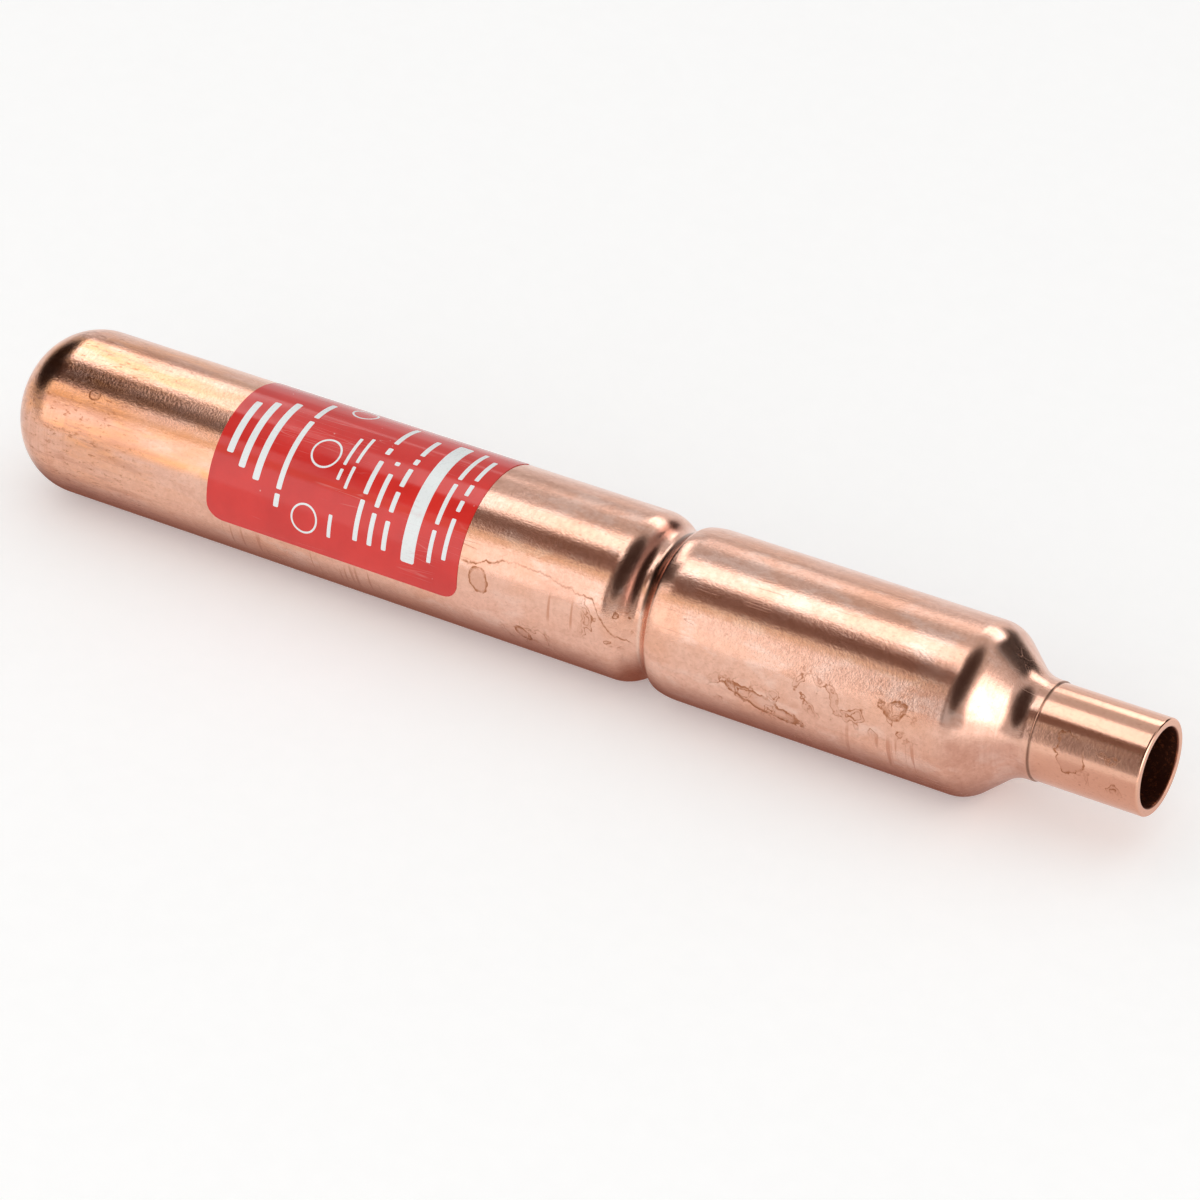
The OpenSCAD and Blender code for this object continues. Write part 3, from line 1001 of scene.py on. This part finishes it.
# Bright and dark cards that the metal mirrors. Those over the tube's length have a turn in degrees from
# straight up towards the front, a spread as an angle, a distance, and ends along X. The others have a place
# and a size. All are in m, with edges that are soft over a length, or round with a share of their reach
# that fades.
mirrorCards = {
    "topStrip": {
        "turn": -2.0, "spread": 30.0, "far": 0.85, "ends": (-0.66, -0.23), "tone": 2.05, "soft": 0.08,
    },
    "endPanel": {
        "turn": -31.0, "spread": 48.0, "far": 0.86, "ends": (-0.92, -0.64), "tone": 2.5, "soft": 0.07,
    },
    "backStrip": {
        "turn": -49.5, "spread": 24.0, "far": 0.9, "ends": (-0.57, -0.34), "tone": 1.35, "soft": 0.09,
    },
    "stubStrip": {
        "turn": -55.0, "spread": 22.0, "far": 0.91, "ends": (-0.39, 0.3), "tone": 2.6, "soft": 0.06,
    },
    "labelStrip": {
        "turn": -51.0, "spread": 5.0, "far": 0.9, "ends": (-0.72, -0.56), "tone": 1.6, "soft": 0.02,
    },
    "stubTopStrip": {
        "turn": 14.0, "spread": 13.0, "far": 0.83, "ends": (-0.37, -0.2), "tone": 2.05, "soft": 0.03,
    },
    "horizonBox": {
        "turn": -80.0, "spread": 22.0, "far": 1.5, "ends": (-1.6, 1.0), "tone": 0.86, "soft": 0.08,
    },
    "frontBox": {
        "turn": 66.0, "spread": 56.0, "far": 1.0, "ends": (-0.64, -0.36), "tone": 1.4, "soft": 0.14,
    },
    "frontBoxLeft": {
        "turn": 59.0, "spread": 68.0, "far": 1.02, "ends": (-1.6, -0.44), "tone": 1.5, "soft": 0.15,
    },
    "amberStrip": {
        "turn": 46.0, "spread": 18.0, "far": 0.99, "ends": (-1.4, -0.38), "tone": 0.95, "soft": 0.12,
        "tint": (1.0, 0.86, 0.64, 1.0),
    },
    "mouthBox": {"spot": (0.86, -0.12, 0.27), "size": (1.5, 1.0), "tone": 3.1, "fade": 0.5},
    "overheadCard": {
        "turn": 26.0, "spread": 34.0, "far": 0.84, "ends": (-0.67, -0.2), "tone": 0.19, "soft": 0.09,
        "tint": copperShade,
    },
    "domeSideCard": {
        "turn": 10.5, "spread": 41.0, "far": 0.84, "ends": (-1.4, -0.62), "tone": 0.06, "soft": 0.09,
        "tint": copperShade,
    },
    "neckCard": {
        "turn": 23.0, "spread": 108.0, "far": 0.93, "ends": (-0.38, 0.78), "tone": 0.04, "fade": 0.4,
        "tint": copperShade,
    },
    "stubCardFront": {
        "turn": 63.0, "spread": 50.0, "far": 0.98, "ends": (-0.43, -0.22), "tone": 0.12, "soft": 0.04,
        "tint": copperShade,
    },
    "backCard": {
        "spot": (0.36, 0.85, 0.33), "size": (1.25, 1.05), "tone": 0.02, "fade": 0.45, "tint": copperShade,
    },
    "domeCard": {
        "spot": (-1.15, 0.16, 0.47), "size": (1.55, 1.0), "tone": 0.02, "fade": 0.4, "tint": copperShade,
    },
}
# cards on the floor stand for the shade and the glow that the metal mirrors there: ends along X, sides
# along Y, and lift off the floor
floorCards = {
    "underCard": {
        "ends": (-0.222, -0.018), "sides": (-0.021, 0.032), "lift": 0.0003, "tone": 0.24, "soft": 0.015,
        "tint": (1.0, 0.42, 0.3, 1.0),
    },
    "stubCard": {
        "ends": (-0.06, 0.035), "sides": (-0.1, 0.06), "lift": 0.0002, "tone": 0.74, "soft": 0.05,
        "tint": (1.0, 0.86, 0.82, 1.0),
    },
    "neckGlow": {"ends": (0.01, 0.6), "sides": (-0.5, -0.02), "lift": 0.0004, "tone": 1.5, "soft": 0.06},
}
fillBoxes = {  # light the floor and the label, not mirrored
    "topFill": {"turn": 0.0, "spread": 90.0, "far": 1.6, "ends": (-1.6, 1.4), "glow": 0.22},
    "frontFill": {"turn": 74.0, "spread": 60.0, "far": 1.6, "ends": (-1.4, 1.2), "glow": 0.8},
}
tubeMiddle = Vector((-0.1, 0.0, 0.0))


def facing(spot, target, across):
    back = (spot - target).normalized()
    across = (across - back * across.dot(back)).normalized()
    turned = Matrix((across, back.cross(across), back)).transposed().to_4x4()
    turned.translation = spot
    return turned


def stagePlace(setup):
    if "spot" in setup:
        spot = Vector(setup["spot"])
        level = Vector((-spot.y, spot.x, 0.0))
        return facing(spot, tubeMiddle, level), setup["size"]
    turn = math.radians(setup["turn"])
    first, last = setup["ends"]
    middle = 0.5 * (first + last)
    spot = Vector((middle, -setup["far"] * math.sin(turn), setup["far"] * math.cos(turn)))
    width = 2.0 * setup["far"] * math.tan(math.radians(0.5 * setup["spread"]))
    return facing(spot, Vector((middle, 0.0, 0.0)), Vector((1.0, 0.0, 0.0))), (last - first, width)


def floorPlace(setup):
    first, last = setup["ends"]
    front, back = setup["sides"]
    spot = (0.5 * (first + last), 0.5 * (front + back), cadBox[0].z + setup["lift"])
    return Matrix.Translation(spot), (last - first, back - front)


def makeLight(name, place, size, glow):
    light = bpy.data.lights.new(name, "AREA")
    light.shape = "RECTANGLE"
    light.size, light.size_y = size
    light.energy = glow * math.pi * size[0] * size[1]
    lamp = bpy.data.objects.new(name, light)
    scene.collection.objects.link(lamp)
    lamp.matrix_world = place
    lamp.visible_camera = lamp.visible_glossy = False


def cardCover(tree, size, setup):  # one inside the card, falling to nothing at its edges
    axes = addNode(tree, "ShaderNodeSeparateXYZ", {0: objectCoords(tree)}).outputs
    if "fade" in setup:
        shares = [maths(tree, "MULTIPLY", axes[axis], 2.0 / length) for axis, length in zip("XY", size)]
        squares = [maths(tree, "POWER", share, 2.0) for share in shares]
        reach = maths(tree, "SQRT", maths(tree, "ADD", *squares))
        return remap(tree, reach, 1.0 - setup["fade"], 1.0, 1.0, 0.0)
    sides = []
    for axis, length in zip("XY", size):
        edge = maths(tree, "SUBTRACT", 0.5 * length, maths(tree, "ABSOLUTE", axes[axis]))
        sides.append(remap(tree, edge, 0.0, setup["soft"]))
    return product(tree, *sides)


def makeCard(name, place, size, setup):
    bm = bmesh.new()
    bmesh.ops.create_grid(bm, x_segments=1, y_segments=1, size=0.5)
    bmesh.ops.scale(bm, verts=bm.verts, vec=(*size, 1.0))
    card = linkObject(name, bm)
    card.matrix_world = place
    card.visible_camera = card.visible_diffuse = card.visible_shadow = False  # only mirrored
    material, tree, shader = newMaterial(name)
    shader.inputs["Base Color"].default_value = black
    shader.inputs["Specular IOR Level"].default_value = 0.0
    shader.inputs["Emission Color"].default_value = setup.get("tint", white)
    shader.inputs["Emission Strength"].default_value = setup["tone"]
    tree.links.new(cardCover(tree, size, setup), shader.inputs["Alpha"])
    card.data.materials.append(material)


for name, setup in mirrorCards.items():
    makeCard(name, *stagePlace(setup), setup)
for name, setup in floorCards.items():
    makeCard(name, *floorPlace(setup), setup)
for name, setup in fillBoxes.items():
    makeLight(name, *stagePlace(setup), setup["glow"])
print("stage lit")


# the camera, solved from the photograph

cameraSetup = {
    "spot": (0.246936, -0.560331, 0.422919),
    "right": (0.85001, 0.52677, 0.0),
    "up": (-0.28622, 0.46185, 0.83950),
    "back": (0.44223, -0.71358, 0.54335),
    "lens": 145.572,
    "sensor": 36.0,
    "nearest": 0.01,
    "farthest": 50.0,
}


def makeCamera(setup):
    data = bpy.data.cameras.new("photoCamera")
    data.lens = setup["lens"]
    data.sensor_width = setup["sensor"]
    data.clip_start = setup["nearest"]
    data.clip_end = setup["farthest"]
    camera = bpy.data.objects.new("photoCamera", data)
    scene.collection.objects.link(camera)
    place = Matrix((setup["right"], setup["up"], setup["back"])).transposed().to_4x4()
    place.translation = setup["spot"]
    camera.matrix_world = place
    scene.camera = camera


makeCamera(cameraSetup)
print("camera set")

bpy.context.view_layer.update()
